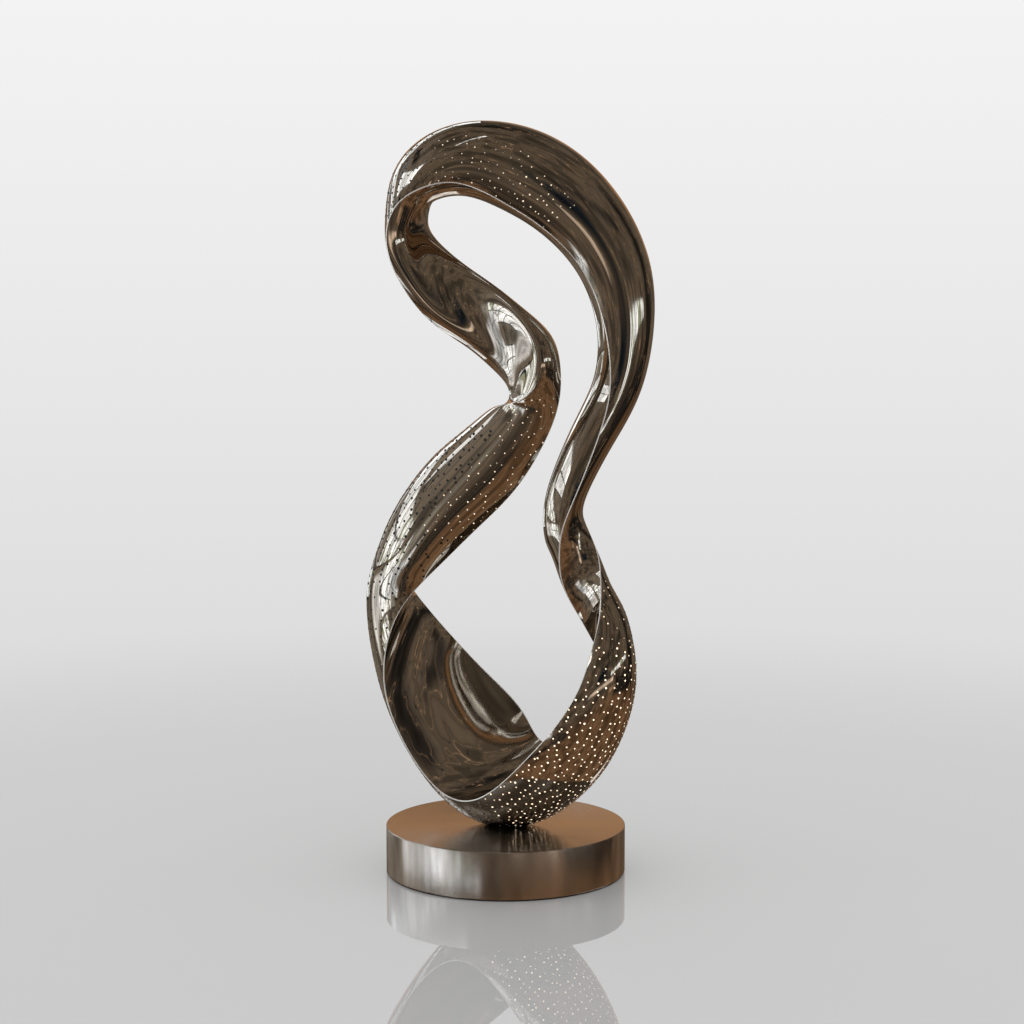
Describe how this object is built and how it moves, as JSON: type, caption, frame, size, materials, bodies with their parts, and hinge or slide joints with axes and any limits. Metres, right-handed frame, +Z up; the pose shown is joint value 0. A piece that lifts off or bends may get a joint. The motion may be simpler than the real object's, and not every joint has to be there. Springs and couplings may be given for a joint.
{
  "type": "abstract metal sculpture",
  "caption": "Broad twisted band of mirror-polished perforated steel closed into one tall loop, standing on a low round steel plinth as an ornament for a hall or lobby.",
  "frame": {"origin": "middle of the plinth's underside, on the floor", "axes": "+Z up, the front faces -Y and +X is to the right of someone who looks at the front"},
  "size_m": [0.7257, 0.6, 1.8728],
  "materials": {
    "polished_steel": "mirror polished, slightly smoky and warm",
    "brushed_steel": "fine brushed satin",
    "hole_light": "warm white light behind the small holes"
  },
  "bodies": {
    "root": {"twisted_loop": "polished_steel", "round_plinth": "brushed_steel"}
  },
  "joints": []
}
